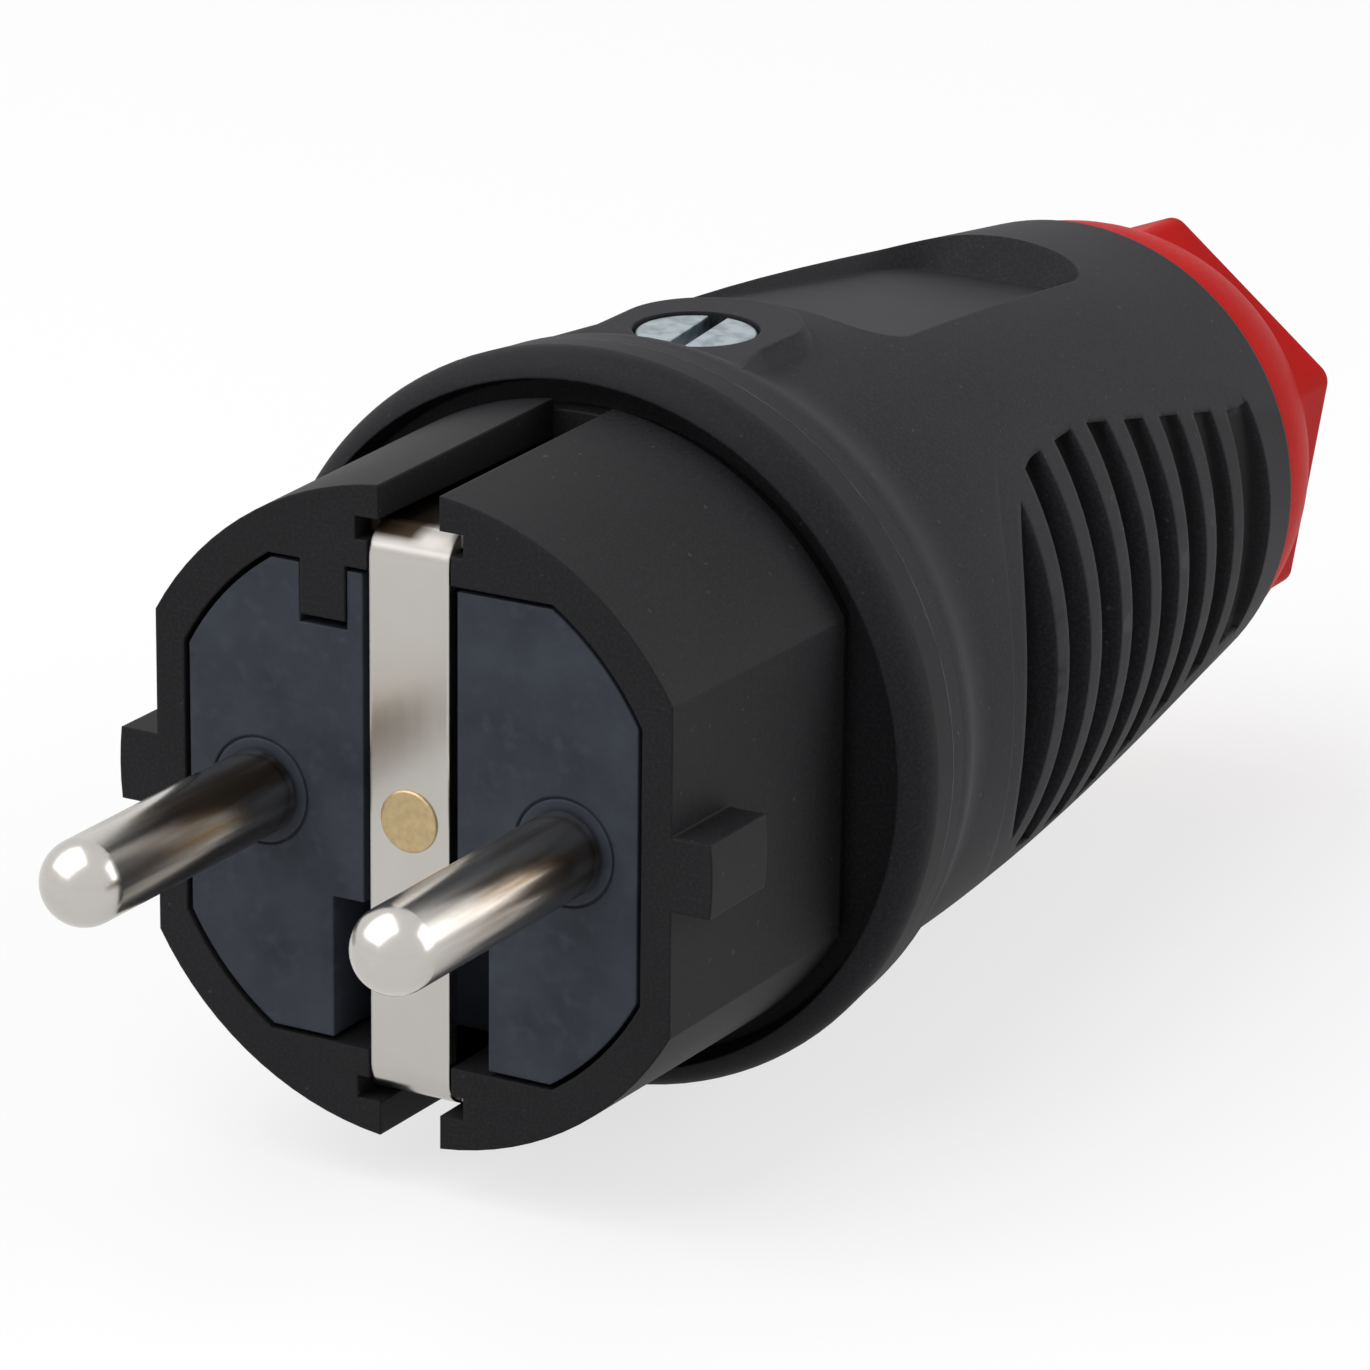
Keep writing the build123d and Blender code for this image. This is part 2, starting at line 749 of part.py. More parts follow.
# Jacket: collar, pad, tapered body, recess, grips and the bore for the hard shell
with BuildPart() as jacket:
    with BuildSketch(Plane.XY):
        with BuildLine():
            Polyline((0, neck_end), (rim_inner_radius - rim_draft, neck_end), (rim_inner_radius, rim_front))
            ThreePointArc(
                (rim_inner_radius, rim_front),
                (collar_radius - collar_nose_inset, (rim_front + collar_peak) / 2 - collar_nose_advance),
                (collar_radius, collar_peak),
            )
            Line((collar_radius, collar_peak), (collar_end_radius, collar_end))
            Spline(
                (collar_end_radius, collar_end),
                (waist_radius + waist_hollow, (collar_end + waist_start) / 2),
                (waist_radius, waist_start),
                tangents=[(0, 1), (0, 1)],
            )
            Spline(
                (waist_radius, waist_start),
                (shoulder_radius, shoulder_y),
                (middle_radius, middle_y),
                (rear_radius, body_end),
            )
            Polyline((rear_radius, body_end), (0, body_end), (0, neck_end))
        make_face()
    revolve(axis=Axis.Y)
    fillet(jacket.edges().filter_by(GeomType.CIRCLE).group_by(Axis.Y)[-1], radius=rear_edge_round)
    # Pad for the screw behind the collar, wider where it runs into the collar
    with BuildSketch(Plane.XY.offset(pad_z)):
        with Locations((0, screw_y + pad_round_shift)):
            Circle(pad_half_width)
        with BuildLine():
            Polyline(
                (-pad_half_width, screw_y + pad_round_shift),
                (-pad_half_width, pad_flare_end),
                (-pad_half_width - pad_flare, collar_end - pad_front_overlap),
                (pad_half_width + pad_flare, collar_end - pad_front_overlap),
                (pad_half_width, pad_flare_end),
                (pad_half_width, screw_y + pad_round_shift),
                close=True,
            )
        make_face()
    extrude(amount=tube_radius - pad_z, taper=-pad_draft)
    add(recess_cutter.part, mode=Mode.SUBTRACT)
    for cutter in (crest_cutter, groove_cutter):
        add(cutter.part, mode=Mode.SUBTRACT)
        add(mirror(cutter.part, about=Plane.YZ, mode=Mode.PRIVATE), mode=Mode.SUBTRACT)
    # Bore, the same shape as the tube
    with BuildSketch(Plane.XY):
        with BuildLine():
            Polyline(
                (0, neck_end),
                (tube_radius, neck_end),
                (tube_radius, tube_taper_start),
                (tube_rear_radius, tube_taper_end),
                (tube_rear_radius, body_end),
                (0, body_end),
                close=True,
            )
        make_face()
    revolve(axis=Axis.Y, mode=Mode.SUBTRACT)
    # Hole for the screw's boss and head
    with BuildSketch(Plane.XY.offset(head_seat_z)):
        with Locations((0, screw_y)):
            Circle(boss_radius)
    extrude(amount=-head_seat_z, mode=Mode.SUBTRACT)
    with BuildSketch(Plane.XY.offset(pad_z)):
        with Locations((0, screw_y)):
            Circle(screw_head_radius + screw_hole_gap)
    extrude(amount=head_seat_z - pad_z, mode=Mode.SUBTRACT)
jacket.part.label = "jacket"

# Clamp cage: a ring on the ledge and fingers that the nut bends inwards
cage_ring_start = ledge_y + ledge_thickness
cage_ring_end = cage_ring_start + cage_ring_length
finger_inner = cage_finger_radius - cage_finger_wall
with BuildPart() as clamp_cage:
    with BuildSketch(Plane.XY):
        with BuildLine():
            Polyline(
                (finger_inner, cage_ring_start),
                (tube_rear_inner - cage_gap, cage_ring_start),
                (tube_rear_inner - cage_gap, cage_ring_end),
                (cage_finger_radius, cage_ring_end),
                (cage_finger_radius, cage_finger_end - 2 * cage_finger_chamfer),
                (cage_finger_radius - cage_finger_chamfer, cage_finger_end),
                (finger_inner, cage_finger_end),
                close=True,
            )
        make_face()
    revolve(axis=Axis.Y)
    with BuildSketch(station(cage_ring_end + cage_gap)):
        with PolarLocations(cage_finger_radius, cage_finger_count):
            Rectangle(2 * cage_slot_reach, cage_slot_width)
    extrude(amount=cage_ring_end + cage_gap - cage_finger_end, mode=Mode.SUBTRACT)
clamp_cage.part.label = "clamp_cage"

# Rubber bush around the cable
with BuildPart() as gland_seal:
    with BuildSketch(station(seal_start)):
        Circle(seal_radius)
        Circle(seal_bore_radius, mode=Mode.SUBTRACT)
    extrude(amount=seal_start - seal_end)
gland_seal.part.label = "gland_seal"

# Gland nut: domed shoulder, hexagon, threaded spigot and inner cone
with BuildPart() as gland_nut:
    with BuildSketch(Plane.XY):
        with BuildLine():
            Line((0, body_end + nut_flange_gap), (nut_flange_radius, body_end + nut_flange_gap))
            Line((nut_flange_radius, body_end + nut_flange_gap), (nut_flange_radius, nut_flange_end))
            RadiusArc((nut_flange_radius, nut_flange_end), (nut_dome_radius, nut_dome_end), -nut_dome_round)
            Polyline(
                (nut_dome_radius, nut_dome_end),
                (0, nut_dome_end),
                (0, body_end + nut_flange_gap),
            )
        make_face()
    revolve(axis=Axis.Y)
    with BuildSketch(station(nut_hex_start)):
        RegularPolygon(nut_flat_radius, 6, major_radius=False, rotation=nut_turn + 30)
    extrude(amount=nut_hex_start - nut_end)
    fillet(
        gland_nut.edges().filter_by(Axis.Y).filter_by(lambda edge: edge.center().Y > nut_flange_end),
        radius=nut_corner_round,
    )
    with BuildSketch(station(nut_spigot_start)):
        Circle(gland_thread_radius - gland_thread_gap)
    extrude(amount=nut_spigot_start - body_end - nut_flange_gap)
    with BuildSketch(Plane.XY):
        with BuildLine():
            Polyline(
                (0, nut_spigot_start),
                (nut_spigot_bore, nut_spigot_start),
                (nut_spigot_bore, nut_cone_start),
                (nut_mouth_radius, nut_cone_end),
                (nut_mouth_radius, nut_end),
                (0, nut_end),
                close=True,
            )
        make_face()
    revolve(axis=Axis.Y, mode=Mode.SUBTRACT)
gland_nut.part.label = "gland_nut"

pieces = [
    inner_shell,
    jacket,
    contact_carrier,
    carrier_back,
    captive_nut,
    housing_screw,
    live_pin,
    neutral_pin,
    earth_strap,
    earth_rivet,
    earth_terminal,
    clamp_cage,
    gland_seal,
    gland_nut,
]
for name, place in chamber_places.items():
    plate = clamp_plate(place)
    plate.part.label = f"{name}_clamp_plate"
    screw = terminal_screw(place)
    screw.part.label = f"{name}_terminal_screw"
    pieces += [plate, screw]

os.makedirs("parts", exist_ok=True)
for piece in pieces:
    export_step(piece.part, f"parts/{piece.part.label}.step")
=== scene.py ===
from math import cos, radians, sin

import bmesh
import bpy
from mathutils import Matrix, Vector

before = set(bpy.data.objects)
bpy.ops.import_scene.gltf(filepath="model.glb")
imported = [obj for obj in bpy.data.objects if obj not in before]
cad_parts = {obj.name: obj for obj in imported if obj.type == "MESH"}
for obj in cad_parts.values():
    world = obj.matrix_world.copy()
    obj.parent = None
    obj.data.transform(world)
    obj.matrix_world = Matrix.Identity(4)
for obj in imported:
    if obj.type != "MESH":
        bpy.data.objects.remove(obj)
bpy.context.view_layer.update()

# Sizes, in metres
MM = 0.001
collar_radius = 21.35 * MM
edge_round = 0.22 * MM

# Jacket: the line where its mould parts, with painted shade in front of it, and the foot of the
# screw's pad
parting_line_y = 22.1 * MM
parting_line_width = 0.1 * MM
parting_line_height = 0.03 * MM
front_shade_fade = 0.2 * MM
pad_foot_x = (4.6 * MM, 5.8 * MM)
pad_foot_y = (22.6 * MM, 30.0 * MM)
pad_foot_z = 17.0 * MM
pad_foot_round = 1.5 * MM

# Jacket: the grips, and the round floors of their grooves, which sink towards the nut; the floors
# are given painted shade
grip_inner_x = 11.5 * MM
grip_front_y = 33.5 * MM
rib_round = 0.6 * MM
groove_shift = 10.3 * MM
groove_floor_radius = 27.0 * MM
groove_first_y = 37.9 * MM
groove_slope = 0.0538
groove_half_height = 11.9 * MM
groove_taper_y = 50.0 * MM
groove_taper = 0.215
# How far the painted shade on the groove floors reaches and how it fades
groove_floor_top = 1.1 * MM
groove_floor_fade = 1.0 * MM
groove_end_fade = 0.8 * MM

# Earth strap: its upper fold, the stain on it, and where its arms begin
strap_bend_y = 1.3 * MM
fold_y = (0.02 * MM, 0.25 * MM)
fold_z = (13.0 * MM, 14.0 * MM)
fold_end_y = (1.6 * strap_bend_y, strap_bend_y)
stain_y = (0.2 * strap_bend_y, 0.45 * strap_bend_y)
stain_x = (0.6 * MM, -0.4 * MM)
arm_y = (strap_bend_y, 2.2 * strap_bend_y)

# Pins: the stretch over which the brown streaks, tarnish with a painted reflection of the dark
# shell, start behind the tip
tarnish_and_reflection_y = (-18.0 * MM, -10.0 * MM)

# Camera, as found from the pins, the face and the rims in the photograph
camera_azimuth = radians(29.47)
camera_elevation = radians(18.65)
camera_roll = radians(0.62)
camera_distance = 372.55 * MM
camera_right = 14.67 * MM
camera_up = 7.26 * MM
camera_clip_end = 20.0
focal_pixels = 7000.0
frame_pixels = 1370.0
sensor_width = 36.0

# Light
world_light = 0.38
floor_glow_share = 0.72
floor_half_width = 3.0
light_target = (0.0, 35.0 * MM, 0.0)
key_place = (-0.35, -0.35, 0.75)
key_size = (1.1, 1.1)
key_power = 9.5
fill_place = (0.65, 0.5, 0.3)
fill_size = (0.6, 0.6)
fill_power = 2.5

# Colours, linear
jacket_black = (0.0165, 0.0163, 0.0188)
shell_black = (0.0135, 0.0135, 0.0150)
parting_grey = (0.060, 0.060, 0.063)
insert_grey = (0.034, 0.039, 0.050)
nickel_white = (0.53, 0.51, 0.48)
strap_white = (0.520, 0.498, 0.466)
# Brown of the pins' tarnish and of the painted reflection of the dark shell
tarnish_and_reflection_brown = (0.20, 0.148, 0.103)
arm_brown = (0.10, 0.07, 0.045)
brass_yellow = (0.56, 0.43, 0.24)
zinc_white = (0.37, 0.43, 0.46)
zinc_dull = (0.20, 0.245, 0.28)
nut_red = (0.42, 0.0060, 0.0042)
cage_grey = (0.35, 0.35, 0.34)
floor_white = (0.90, 0.90, 0.90)
pure_white = (1.0, 1.0, 1.0)


def add_camera():
    """Camera with the photograph's view, for a square frame."""
    away = Vector((
        sin(camera_azimuth) * cos(camera_elevation),
        -cos(camera_azimuth) * cos(camera_elevation),
        sin(camera_elevation),
    ))
    right = (-away).cross(Vector((0, 0, 1))).normalized()
    up = right.cross(-away)
    rolled_right = cos(camera_roll) * right + sin(camera_roll) * up
    rolled_up = cos(camera_roll) * up - sin(camera_roll) * right
    camera_data = bpy.data.cameras.new("photo_camera")
    camera_data.sensor_width = sensor_width
    camera_data.lens = focal_pixels / frame_pixels * sensor_width
    camera_data.clip_end = camera_clip_end
    camera = bpy.data.objects.new("photo_camera", camera_data)
    bpy.context.collection.objects.link(camera)
    place = camera_right * rolled_right + camera_up * rolled_up + camera_distance * away
    turn = Matrix((rolled_right, rolled_up, away)).transposed()
    camera.matrix_world = Matrix.Translation(place) @ turn.to_4x4()
    bpy.context.scene.camera = camera


def add_softbox(name, place, size, power):
    """Soft rectangular lamp aimed at the middle of the plug."""
    lamp_data = bpy.data.lights.new(name, "AREA")
    lamp_data.shape = "RECTANGLE"
    lamp_data.size, lamp_data.size_y = size
    lamp_data.energy = power
    lamp = bpy.data.objects.new(name, lamp_data)
    bpy.context.collection.objects.link(lamp)
    aim = (Vector(light_target) - Vector(place)).to_track_quat("-Z", "Y")
    lamp.matrix_world = Matrix.Translation(Vector(place)) @ aim.to_matrix().to_4x4()


def mix_by_rays(tree, plain, white):
    """Mix of two shaders: the white one for the camera, glossy and transmission rays."""
    rays = tree.nodes.new("ShaderNodeLightPath")
    share = rays.outputs["Is Camera Ray"]
    for name in ("Is Glossy Ray", "Is Transmission Ray"):
        either = tree.nodes.new("ShaderNodeMath")
        either.operation = "MAXIMUM"
        tree.links.new(share, either.inputs[0])
        tree.links.new(rays.outputs[name], either.inputs[1])
        share = either.outputs["Value"]
    mix = tree.nodes.new("ShaderNodeMixShader")
    tree.links.new(share, mix.inputs["Fac"])
    tree.links.new(plain, mix.inputs[1])
    tree.links.new(white, mix.inputs[2])
    return mix.outputs["Shader"]


def set_world():
    """Pale surroundings that light the plug softly and look white to the camera."""
    world = bpy.data.worlds.new("studio")
    bpy.context.scene.world = world
    world.use_nodes = True
    nodes, links = world.node_tree.nodes, world.node_tree.links
    light = nodes["Background"]
    light.inputs["Color"].default_value = (*pure_white, 1)
    light.inputs["Strength"].default_value = world_light
    white = nodes.new("ShaderNodeBackground")
    white.inputs["Color"].default_value = (*pure_white, 1)
    white.inputs["Strength"].default_value = 1.0
    mixed = mix_by_rays(world.node_tree, light.outputs["Background"], white.outputs["Background"])
    links.new(mixed, nodes["World Output"].inputs["Surface"])


def white_floor_material():
    """White floor that keeps the plug's shadow and looks bright to the camera."""
    material = bpy.data.materials.new("floor_white")
    material.use_nodes = True
    nodes, links = material.node_tree.nodes, material.node_tree.links
    shader = nodes["Principled BSDF"]
    shader.inputs["Base Color"].default_value = (*floor_white, 1)
    shader.inputs["Roughness"].default_value = 0.9
    shader.inputs["Specular IOR Level"].default_value = 0.0
    glow = nodes.new("ShaderNodeEmission")
    glow.inputs["Strength"].default_value = 1.0
    part = nodes.new("ShaderNodeMixShader")
    part.inputs["Fac"].default_value = floor_glow_share
    links.new(shader.outputs["BSDF"], part.inputs[1])
    links.new(glow.outputs["Emission"], part.inputs[2])
    mixed = mix_by_rays(material.node_tree, shader.outputs["BSDF"], part.outputs["Shader"])
    links.new(mixed, nodes["Material Output"].inputs["Surface"])
    return material


def add_floor():
    """Large floor under the collar."""
    mesh = bpy.data.meshes.new("floor")
    shape = bmesh.new()
    bmesh.ops.create_grid(shape, x_segments=1, y_segments=1, size=floor_half_width)
    bmesh.ops.translate(shape, verts=shape.verts, vec=(0, 0, -collar_radius))
    shape.to_mesh(mesh)
    shape.free()
    mesh.materials.append(white_floor_material())
    floor = bpy.data.objects.new("floor", mesh)
    bpy.context.collection.objects.link(floor)


class Finish:
    """A material and the handles that its nodes are joined by."""

    def __init__(self, name, colour, roughness, metallic=0.0):
        self.material = bpy.data.materials.new(name)
        self.material.use_nodes = True
        self.nodes = self.material.node_tree.nodes
        self.links = self.material.node_tree.links
        self.shader = self.nodes["Principled BSDF"]
        self.shader.inputs["Base Color"].default_value = (*colour, 1)
        self.shader.inputs["Roughness"].default_value = roughness
        self.shader.inputs["Metallic"].default_value = metallic
        self.place = self.nodes.new("ShaderNodeTexCoord").outputs["Object"]

    def node(self, kind, **settings):
        """New node; settings are its properties."""
        node = self.nodes.new(kind)
        for name, value in settings.items():
            setattr(node, name, value)
        return node

    def noise(self, scale, detail, stretch=(1, 1, 1)):
        """Noise on the piece's own coordinates, scale in waves per metre."""
        mapping = self.node("ShaderNodeMapping")
        mapping.inputs["Scale"].default_value = stretch
        self.links.new(self.place, mapping.inputs["Vector"])
        noise = self.node("ShaderNodeTexNoise")
        noise.inputs["Scale"].default_value = scale
        noise.inputs["Detail"].default_value = detail
        self.links.new(mapping.outputs["Vector"], noise.inputs["Vector"])
        return noise.outputs["Fac"]

    def ramp(self, source, low, high, from_value=0.3, to_value=0.7):
        """Colour ramp between two colours."""
        ramp = self.node("ShaderNodeValToRGB")
        first, last = ramp.color_ramp.elements
        first.position, first.color = from_value, (*low, 1)
        last.position, last.color = to_value, (*high, 1)
        self.links.new(source, ramp.inputs["Fac"])
        return ramp.outputs["Color"]

    def span(self, source, low, high):
        """Source, 0 to 1, spread over low to high."""
        spread = self.node("ShaderNodeMapRange")
        spread.inputs["To Min"].default_value = low
        spread.inputs["To Max"].default_value = high
        self.links.new(source, spread.inputs["Value"])
        return spread.outputs["Result"]

    def step(self, source, start, end):
        """0 at start and before it, 1 at end and past it, in the source's own unit."""
        spread = self.node("ShaderNodeMapRange", clamp=True)
        spread.inputs["From Min"].default_value = start
        spread.inputs["From Max"].default_value = end
        self.links.new(source, spread.inputs["Value"])
        return spread.outputs["Result"]

    def bump(self, height, depth, under=None):
        """Bump of a height field, depth in metres, over another bump if given."""
        bump = self.node("ShaderNodeBump")
        bump.inputs["Strength"].default_value = 1.0
        bump.inputs["Distance"].default_value = depth
        self.links.new(height, bump.inputs["Height"])
        if under is not None:
            self.links.new(under, bump.inputs["Normal"])
        return bump.outputs["Normal"]

    def soft_edges(self, radius=edge_round):
        """Normal that rounds the sharp edges of a piece by a radius, a number or an output."""
        edge = self.node("ShaderNodeBevel", samples=8)
        if isinstance(radius, float):
            edge.inputs["Radius"].default_value = radius
        else:
            self.links.new(radius, edge.inputs["Radius"])
        return edge.outputs["Normal"]

    def coordinate(self, axis):
        """One of the piece's own coordinates, in metres."""
        split = self.node("ShaderNodeSeparateXYZ")
        self.links.new(self.place, split.inputs["Vector"])
        return split.outputs[axis]

    def math(self, operation, first, second):
        """Sum, product or comparison of two values; either may be a number."""
        node = self.node("ShaderNodeMath", operation=operation)
        for socket, value in zip(node.inputs, (first, second)):
            if isinstance(value, (int, float)):
                socket.default_value = value
            else:
                self.links.new(value, socket)
        return node.outputs["Value"]

    def unsigned(self, value):
        """A value without its sign."""
        return self.math("ABSOLUTE", value, 0.0)

    def product(self, first, *others):
        """Product of shares, each an output or a number."""
        result = first
        for value in others:
            result = self.math("MULTIPLY", result, value)
        return result

    def blend(self, share, below, above):
        """Mix of two colours by a share; each is a colour or an output."""
        node = self.node("ShaderNodeMix", data_type="RGBA")
        self.links.new(share, node.inputs["Factor"])
        for socket, colour in (("A", below), ("B", above)):
            inlet = next(i for i in node.inputs if i.name == socket and i.type == "RGBA")
            if isinstance(colour, tuple):
                inlet.default_value = (*colour, 1)
            else:
                self.links.new(colour, inlet)
        return next(o for o in node.outputs if o.type == "RGBA")

    def join(self, output, socket):
        """Joins an output to one of the shader's sockets."""
        self.links.new(output, self.shader.inputs[socket])


def shaded(colour, factor):
    """A colour made lighter or darker."""
    return tuple(channel * factor for channel in colour)


def grip_share(finish, fade):
    """1 on the two grips and 0 elsewhere, with a fade at their inner side."""
    across = finish.unsigned(finish.coordinate("X"))
    return finish.product(
        finish.step(across, grip_inner_x, grip_inner_x + fade),
        finish.step(finish.coordinate("Y"), grip_front_y, grip_front_y + MM),
    )


def pad_foot_share(finish):
    """1 where the screw's pad runs out into the jacket, 0 elsewhere."""
    along = finish.coordinate("Y")
    return finish.product(
        finish.step(finish.unsigned(finish.coordinate("X")), *pad_foot_x),
        finish.step(along, pad_foot_y[0], pad_foot_y[0] + MM),
        finish.step(along, pad_foot_y[1] + 2 * MM, pad_foot_y[1]),
        finish.step(finish.coordinate("Z"), pad_foot_z, pad_foot_z + MM),
    )


def jacket_rounds(finish):
    """Radius of the jacket's edges: larger on the grips' ribs and at the foot of the pad."""
    on_ribs = finish.product(grip_share(finish, MM), rib_round - edge_round)
    at_foot = finish.product(pad_foot_share(finish), pad_foot_round - edge_round)
    return finish.math("ADD", finish.math("ADD", on_ribs, at_foot), edge_round)


def groove_shade_share(finish):
    """Share of painted shade: 1 on the floors of the grips' grooves, 0 on the ribs and elsewhere.
    """
    along = finish.coordinate("Y")
    height = finish.unsigned(finish.coordinate("Z"))
    out = finish.math("ADD", finish.unsigned(finish.coordinate("X")), groove_shift)
    squares = finish.math("ADD", finish.product(out, out), finish.product(height, height))
    sink = finish.product(finish.math("SUBTRACT", along, groove_first_y), groove_slope)
    over_floor = finish.math("ADD", finish.math("POWER", squares, 0.5), sink)
    over_floor = finish.math("SUBTRACT", over_floor, groove_floor_radius)
    past_taper = finish.math("MAXIMUM", finish.math("SUBTRACT", along, groove_taper_y), 0.0)
    taper = finish.product(past_taper, groove_taper)
    half_height = finish.math("SUBTRACT", groove_half_height, taper)
    return finish.product(
        finish.step(over_floor, groove_floor_top, groove_floor_top - groove_floor_fade),
        finish.step(finish.math("SUBTRACT", half_height, height), 0.0, groove_end_fade),
        grip_share(finish, 0.5 * MM),
    )


def jacket_marks(finish, tone, rounded):
    """The jacket's tone and normal with its parting line, and painted shade in front of the
    parting line and on the groove floors.
    """
    offset = finish.math("SUBTRACT", finish.coordinate("Y"), parting_line_y)
    off_line = finish.step(
        finish.unsigned(offset), 0.3 * parting_line_width, parting_line_width
    )
    line = finish.math("SUBTRACT", 1.0, off_line)
    broken = finish.step(finish.noise(scale=260, detail=2), 0.38, 0.52)
    tone = finish.blend(finish.product(line, broken), tone, parting_grey)
    # Painted shade: the jacket in front of the parting line, on the collar's front, is made
    # darker
    front_shade = finish.step(offset, front_shade_fade, -front_shade_fade)
    tone = finish.blend(finish.product(front_shade, 0.4), tone, shaded(jacket_black, 0.45))
    # Painted shade: the groove floors are made darker, where shade falls between the ribs
    groove_shade = finish.product(groove_shade_share(finish), 0.75)
    tone = finish.blend(groove_shade, tone, shaded(jacket_black, 0.15))
    return tone, finish.bump(line, parting_line_height, rounded)


def moulded_black(name, colour, roughness, grain_depth, fleck_share, on_jacket=False):
    """Matte black moulding: cloudy tone, fine grain, pale specks and soft edges."""
    finish = Finish(name, colour, roughness)
    finish.shader.inputs["Specular IOR Level"].default_value = 0.1
    cloud = finish.noise(scale=70, detail=3)
    tone = finish.ramp(cloud, shaded(colour, 0.68), shaded(colour, 1.02))
    grain = finish.noise(scale=5200, detail=2)
    flecks = finish.product(finish.step(grain, 0.42, 0.72), fleck_share)
    tone = finish.blend(flecks, tone, shaded(colour, 2.0))
    specks = finish.step(finish.noise(scale=1900, detail=1), 0.74, 0.79)
    tone = finish.blend(specks, tone, shaded(colour, 2.6))
    if on_jacket:
        rounded = finish.soft_edges(jacket_rounds(finish))
        tone, rounded = jacket_marks(finish, tone, rounded)
    else:
        rounded = finish.soft_edges()
    finish.join(tone, "Base Color")
    finish.join(finish.span(grain, roughness - 0.05, roughness + 0.07), "Roughness")
    finish.join(finish.bump(grain, grain_depth, rounded), "Normal")
    return finish.material


def insert_plastic():
    """Blue-grey moulded plastic with a pale bloom and soft edges."""
    finish = Finish("insert_plastic", insert_grey, roughness=0.5)
    finish.shader.inputs["Specular IOR Level"].default_value = 0.12
    cloud = finish.noise(scale=260, detail=4)
    tone = finish.ramp(cloud, shaded(insert_grey, 0.75), shaded(insert_grey, 1.2))
    bloom = finish.step(finish.noise(scale=900, detail=3), 0.52, 0.72)
    tone = finish.blend(bloom, tone, shaded(insert_grey, 1.2))
    grain = finish.noise(scale=3600, detail=2)
    finish.join(tone, "Base Color")
    finish.join(finish.span(grain, 0.44, 0.58), "Roughness")
    finish.join(finish.bump(grain, 0.010 * MM, finish.soft_edges()), "Normal")
    return finish.material


def pin_nickel():
    """Nickel plate drawn along the pins, with brown streaks that fade at the bright tips:
    tarnish, and towards the base a painted reflection of the dark shell.
    """
    finish = Finish("pin_nickel", nickel_white, roughness=0.3, metallic=1.0)
    drawn = finish.noise(scale=1500, detail=4, stretch=(1, 0.05, 1))
    streaks = finish.step(finish.noise(scale=700, detail=3, stretch=(1, 0.08, 1)), 0.42, 0.66)
    # Tarnish and painted reflection: the brown streaks grow towards the base, where the dark
    # shell is reflected
    behind_tip = finish.step(finish.coordinate("Y"), *tarnish_and_reflection_y)
    tarnish_and_reflection_share = finish.product(streaks, behind_tip)
    scuffs = finish.noise(scale=2600, detail=3, stretch=(1, 0.5, 1))
    finish.join(finish.blend(tarnish_and_reflection_share, nickel_white, tarnish_and_reflection_brown), "Base Color")
    finish.join(finish.span(drawn, 0.14, 0.32), "Roughness")
    lines = finish.bump(drawn, 0.005 * MM)
    finish.join(finish.bump(scuffs, 0.003 * MM, lines), "Normal")
    return finish.material


def strap_nickel():
    """Bright rolled nickel strip, rougher on its upper fold, with painted shade there that dims
    its highlight, and brown along its arms.
    """
    finish = Finish("strap_nickel", strap_white, roughness=0.27, metallic=1.0)
    along = finish.coordinate("Y")
    rolled = finish.noise(scale=1100, detail=3, stretch=(1, 1, 0.05))
    cloud = finish.noise(scale=160, detail=3)
    tone = finish.ramp(cloud, shaded(strap_white, 0.93), strap_white)

    at_top = finish.step(finish.coordinate("Z"), *fold_z)
    on_fold = finish.product(at_top, finish.step(along, *fold_y))
    # Painted shade: the upper fold is made darker to dim its highlight
    tone = finish.blend(on_fold, tone, shaded(strap_white, 0.72))

    ragged_x = finish.math("ADD", finish.coordinate("X"), finish.span(cloud, -MM, MM))
    stain = finish.product(
        finish.step(along, *stain_y), finish.step(ragged_x, *stain_x), at_top
    )
    tone = finish.blend(stain, tone, shaded(arm_brown, 0.4))
    tone = finish.blend(finish.step(along, *arm_y), tone, arm_brown)

    worn = finish.product(on_fold, finish.step(along, *fold_end_y), 0.35)
    roughness = finish.math("ADD", finish.span(rolled, 0.18, 0.28), worn)
    finish.join(tone, "Base Color")
    finish.join(roughness, "Roughness")
    finish.join(finish.bump(rolled, 0.002 * MM, finish.soft_edges()), "Normal")
    return finish.material


def bare_brass():
    """Pale pressed brass, rough from the press."""
    finish = Finish("bare_brass", brass_yellow, roughness=0.42, metallic=1.0)
    dents = finish.noise(scale=2300, detail=3)
    finish.join(finish.ramp(dents, shaded(brass_yellow, 0.8), brass_yellow), "Base Color")
    finish.join(finish.span(dents, 0.35, 0.55), "Roughness")
    finish.join(finish.bump(dents, 0.02 * MM, finish.soft_edges()), "Normal")
    return finish.material


def plated_zinc():
    """Blue-white zinc plate with cloudy passivation and fine scratches."""
    finish = Finish("plated_zinc", zinc_white, roughness=0.34, metallic=1.0)
    cloud = finish.noise(scale=900, detail=4)
    scratches = finish.noise(scale=3000, detail=2, stretch=(1, 0.1, 1))
    finish.join(finish.ramp(cloud, zinc_dull, zinc_white, 0.35, 0.55), "Base Color")
    finish.join(finish.span(cloud, 0.26, 0.46), "Roughness")
    finish.join(finish.bump(scratches, 0.006 * MM, finish.soft_edges()), "Normal")
    return finish.material


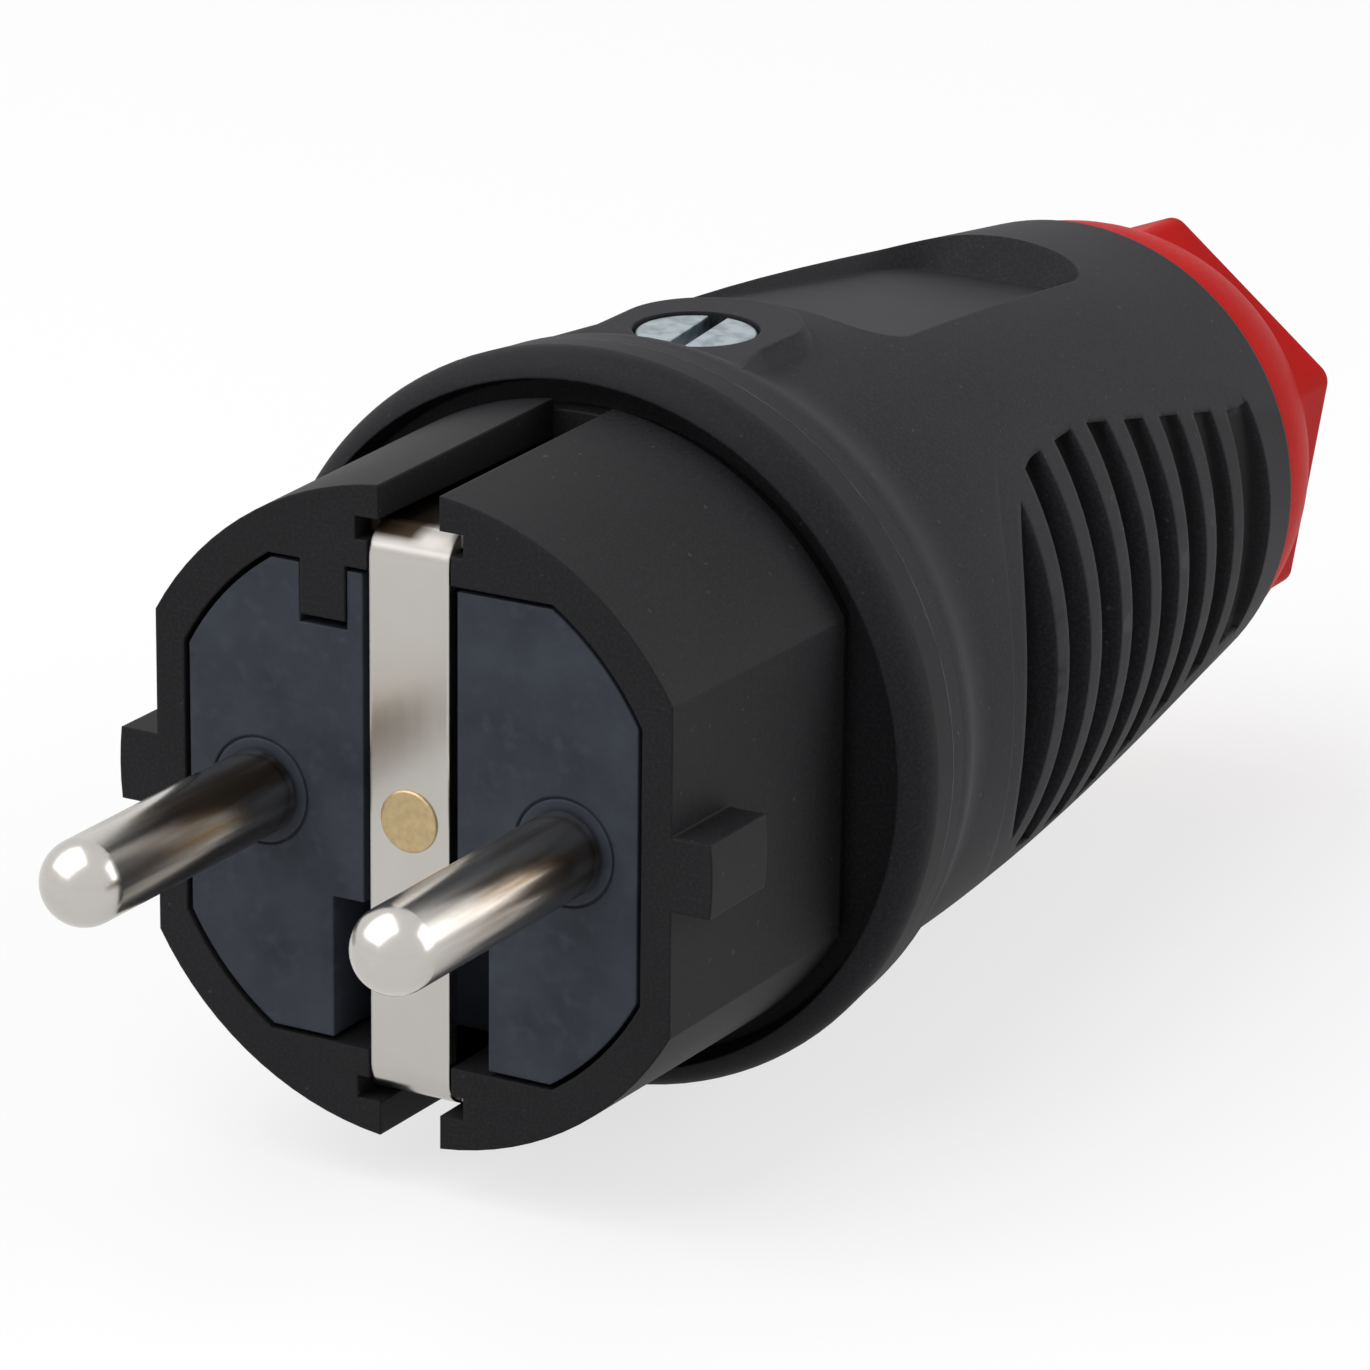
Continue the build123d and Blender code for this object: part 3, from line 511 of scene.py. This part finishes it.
def nut_plastic():
    """Red moulded plastic with a satin surface and soft corners."""
    finish = Finish("nut_plastic", nut_red, roughness=0.48)
    finish.shader.inputs["Specular IOR Level"].default_value = 0.03
    cloud = finish.noise(scale=110, detail=3)
    grain = finish.noise(scale=2600, detail=2)
    finish.join(finish.ramp(cloud, shaded(nut_red, 0.88), shaded(nut_red, 1.08)), "Base Color")
    finish.join(finish.span(grain, 0.38, 0.52), "Roughness")
    finish.join(finish.bump(grain, 0.006 * MM, finish.soft_edges()), "Normal")
    return finish.material


def cage_plastic():
    """Grey plastic of the cage inside the gland."""
    finish = Finish("cage_plastic", cage_grey, roughness=0.5)
    grain = finish.noise(scale=2000, detail=2)
    tone = finish.ramp(grain, shaded(cage_grey, 0.85), shaded(cage_grey, 1.1))
    finish.join(tone, "Base Color")
    finish.join(finish.bump(grain, 0.01 * MM), "Normal")
    return finish.material


def give_finishes():
    """Puts each piece's finish on the material slots of its node."""
    insert_finish = insert_plastic()
    pin_finish = pin_nickel()
    brass_finish = bare_brass()
    zinc_finish = plated_zinc()
    node_finishes = {
        "jacket": moulded_black(
            "jacket_elastomer", jacket_black, 0.6, 0.010 * MM, 0.6, on_jacket=True
        ),
        "inner_shell": moulded_black("shell_plastic", shell_black, 0.55, 0.006 * MM, 0.4),
        "contact_carrier": insert_finish,
        "carrier_back": insert_finish,
        "live_pin": pin_finish,
        "neutral_pin": pin_finish,
        "earth_strap": strap_nickel(),
        "earth_rivet": brass_finish,
        "earth_terminal": brass_finish,
        "housing_screw": zinc_finish,
        "captive_nut": zinc_finish,
        "clamp_cage": cage_plastic(),
        "gland_seal": moulded_black("seal_rubber", shell_black, 0.6, 0.01 * MM, 0.4),
        "gland_nut": nut_plastic(),
    }
    for contact in ("live", "earth", "neutral"):
        node_finishes[f"{contact}_clamp_plate"] = zinc_finish
        node_finishes[f"{contact}_terminal_screw"] = zinc_finish
    for name, finish in node_finishes.items():
        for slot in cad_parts[name].material_slots:
            slot.material = finish


bpy.context.scene.view_settings.view_transform = "Standard"
give_finishes()
add_camera()
set_world()
add_floor()
add_softbox("key_softbox", key_place, key_size, key_power)
add_softbox("fill_softbox", fill_place, fill_size, fill_power)
